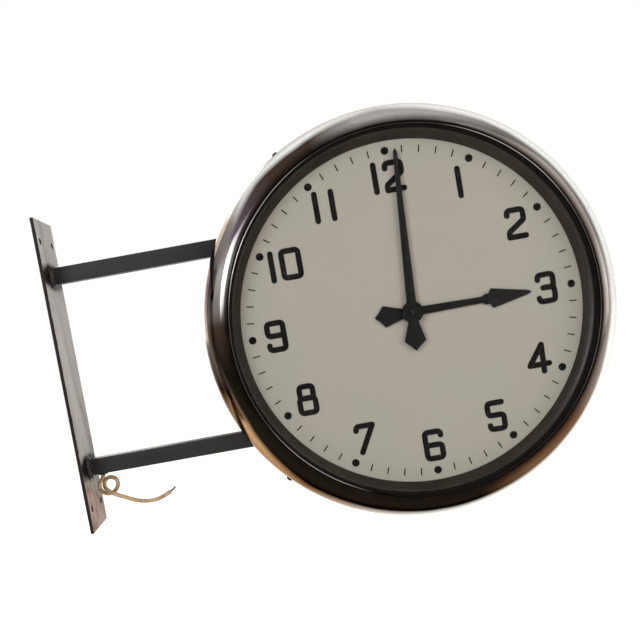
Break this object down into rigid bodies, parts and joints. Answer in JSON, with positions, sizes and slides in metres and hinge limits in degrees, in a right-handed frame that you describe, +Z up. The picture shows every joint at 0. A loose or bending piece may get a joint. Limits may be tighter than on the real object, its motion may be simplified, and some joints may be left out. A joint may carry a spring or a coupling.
{
  "type": "double sided station clock",
  "caption": "Round clock with a glazed dial on each side of a deep copper drum, held off an upright wall plate by square arms, with slave movements inside and a bare supply cable.",
  "frame": {"origin": "centre of the wall plate's back face", "axes": "+X out of the wall, through the arms and the drum; +Z up; the front dial faces -Y and the rear dial +Y"},
  "size_m": [0.835, 0.1856, 0.614],
  "materials": {
    "plate_paint": "matt pale grey paint, scuffed, rusty at the foot",
    "arm_paint": "satin black paint",
    "case_copper": "dark patinated copper, glossy",
    "bezel_copper": "dark patinated copper, glossy",
    "screw_copper": "patinated, worn bright",
    "clear_glass": "clear",
    "seal_rubber": "matt black",
    "ring_lacquer": "glossy dark lacquer",
    "dial_enamel": "satin off-white enamel with black print",
    "hand_black": "satin black paint",
    "bar_steel": "plain steel",
    "movement_brass": "plain brass",
    "coil_winding": "varnished winding",
    "block_bakelite": "dark moulded",
    "cable_sheath": "dull tan sheath",
    "bare_core": "dull stranded cores"
  },
  "bodies": {
    "clock": {"wall_plate": "plate_paint", "upper_arm": "arm_paint", "lower_arm": "arm_paint", "drum_case": "case_copper", "movement_bar": "bar_steel", "terminal_block": "block_bakelite", "supply_lead": "cable_sheath", "cable_grommet": "seal_rubber", "supply_cable": "cable_sheath", "cable_cores": "bare_core", "front_bezel": "bezel_copper", "front_bezel_screw_1": "screw_copper", "front_bezel_screw_2": "screw_copper", "front_bezel_screw_3": "screw_copper", "front_bezel_screw_4": "screw_copper", "front_glass": "clear_glass", "front_glass_seal": "seal_rubber", "front_dial_ring": "ring_lacquer", "front_dial": "dial_enamel", "front_dial_carrier": "bar_steel", "front_back_plate": "movement_brass", "front_front_plate": "movement_brass", "front_coil": "coil_winding", "front_core_yoke": "bar_steel", "rear_bezel": "bezel_copper", "rear_bezel_screw_1": "screw_copper", "rear_bezel_screw_2": "screw_copper", "rear_bezel_screw_3": "screw_copper", "rear_bezel_screw_4": "screw_copper", "rear_glass": "clear_glass", "rear_glass_seal": "seal_rubber", "rear_dial_ring": "ring_lacquer", "rear_dial": "dial_enamel", "rear_dial_carrier": "bar_steel", "rear_back_plate": "movement_brass", "rear_front_plate": "movement_brass", "rear_coil": "coil_winding", "rear_core_yoke": "bar_steel"},
    "front_minute_group": {"front_minute_arbor": "bar_steel", "front_ratchet_wheel": "movement_brass", "front_cannon_pinion": "bar_steel", "front_minute_hand": "hand_black", "front_hand_nut": "hand_black"},
    "front_hour_group": {"front_hour_wheel": "movement_brass", "front_hour_hand": "hand_black"},
    "front_minute_wheel_body": {"front_minute_wheel": "movement_brass"},
    "front_armature_body": {"front_armature": "bar_steel"},
    "front_drive_click_body": {"front_drive_click": "bar_steel"},
    "front_backstop_body": {"front_backstop_click": "bar_steel"},
    "rear_minute_group": {"rear_minute_arbor": "bar_steel", "rear_ratchet_wheel": "movement_brass", "rear_cannon_pinion": "bar_steel", "rear_minute_hand": "hand_black", "rear_hand_nut": "hand_black"},
    "rear_hour_group": {"rear_hour_wheel": "movement_brass", "rear_hour_hand": "hand_black"},
    "rear_minute_wheel_body": {"rear_minute_wheel": "movement_brass"},
    "rear_armature_body": {"rear_armature": "bar_steel"},
    "rear_drive_click_body": {"rear_drive_click": "bar_steel"},
    "rear_backstop_body": {"rear_backstop_click": "bar_steel"}
  },
  "joints": [
    {"name": "front_minute", "type": "hinge", "parent": "clock", "child": "front_minute_group", "pos_m": [0.528, -0.066, 0.004], "axis": [0, 1, 0], "continuous": true},
    {"name": "front_hour", "type": "hinge", "parent": "clock", "child": "front_hour_group", "pos_m": [0.528, -0.066, 0.004], "axis": [0, 1, 0], "continuous": true},
    {"name": "front_minute_wheel_turn", "type": "hinge", "parent": "clock", "child": "front_minute_wheel_body", "pos_m": [0.54497, -0.056, 0.02097], "axis": [0, 1, 0], "continuous": true},
    {"name": "front_armature_pull", "type": "hinge", "parent": "clock", "child": "front_armature_body", "pos_m": [0.496, -0.039, -0.066], "axis": [0, 1, 0], "range_deg": [0, 1.6], "stiffness_Nm_per_rad": 0.02, "springref_deg": -5.73},
    {"name": "front_drive_click_lift", "type": "hinge", "parent": "front_armature_body", "child": "front_drive_click_body", "pos_m": [0.49, -0.043, 0.034], "axis": [0, -1, 0], "range_deg": [0, 8], "stiffness_Nm_per_rad": 0.002, "springref_deg": -11.46},
    {"name": "front_backstop_lift", "type": "hinge", "parent": "clock", "child": "front_backstop_body", "pos_m": [0.566, -0.043, 0.018], "axis": [0, -1, 0], "range_deg": [0, 8], "stiffness_Nm_per_rad": 0.002, "springref_deg": -11.46},
    {"name": "rear_minute", "type": "hinge", "parent": "clock", "child": "rear_minute_group", "pos_m": [0.528, 0.066, 0.004], "axis": [0, -1, 0], "continuous": true},
    {"name": "rear_hour", "type": "hinge", "parent": "clock", "child": "rear_hour_group", "pos_m": [0.528, 0.066, 0.004], "axis": [0, -1, 0], "continuous": true},
    {"name": "rear_minute_wheel_turn", "type": "hinge", "parent": "clock", "child": "rear_minute_wheel_body", "pos_m": [0.51103, 0.056, 0.02097], "axis": [0, -1, 0], "continuous": true},
    {"name": "rear_armature_pull", "type": "hinge", "parent": "clock", "child": "rear_armature_body", "pos_m": [0.56, 0.039, -0.066], "axis": [0, -1, 0], "range_deg": [0, 1.6], "stiffness_Nm_per_rad": 0.02, "springref_deg": -5.73},
    {"name": "rear_drive_click_lift", "type": "hinge", "parent": "rear_armature_body", "child": "rear_drive_click_body", "pos_m": [0.566, 0.043, 0.034], "axis": [0, 1, 0], "range_deg": [0, 8], "stiffness_Nm_per_rad": 0.002, "springref_deg": -11.46},
    {"name": "rear_backstop_lift", "type": "hinge", "parent": "clock", "child": "rear_backstop_body", "pos_m": [0.49, 0.043, 0.018], "axis": [0, 1, 0], "range_deg": [0, 8], "stiffness_Nm_per_rad": 0.002, "springref_deg": -11.46}
  ],
  "couplings": [
    {"joint": "rear_minute", "follows": "front_minute", "ratio": 1},
    {"joint": "front_hour", "follows": "front_minute", "ratio": 0.083333},
    {"joint": "rear_hour", "follows": "front_minute", "ratio": 0.083333},
    {"joint": "front_minute_wheel_turn", "follows": "front_minute", "ratio": -0.33333},
    {"joint": "rear_minute_wheel_turn", "follows": "front_minute", "ratio": -0.33333},
    {"joint": "rear_armature_pull", "follows": "front_armature_pull", "ratio": 1}
  ]
}
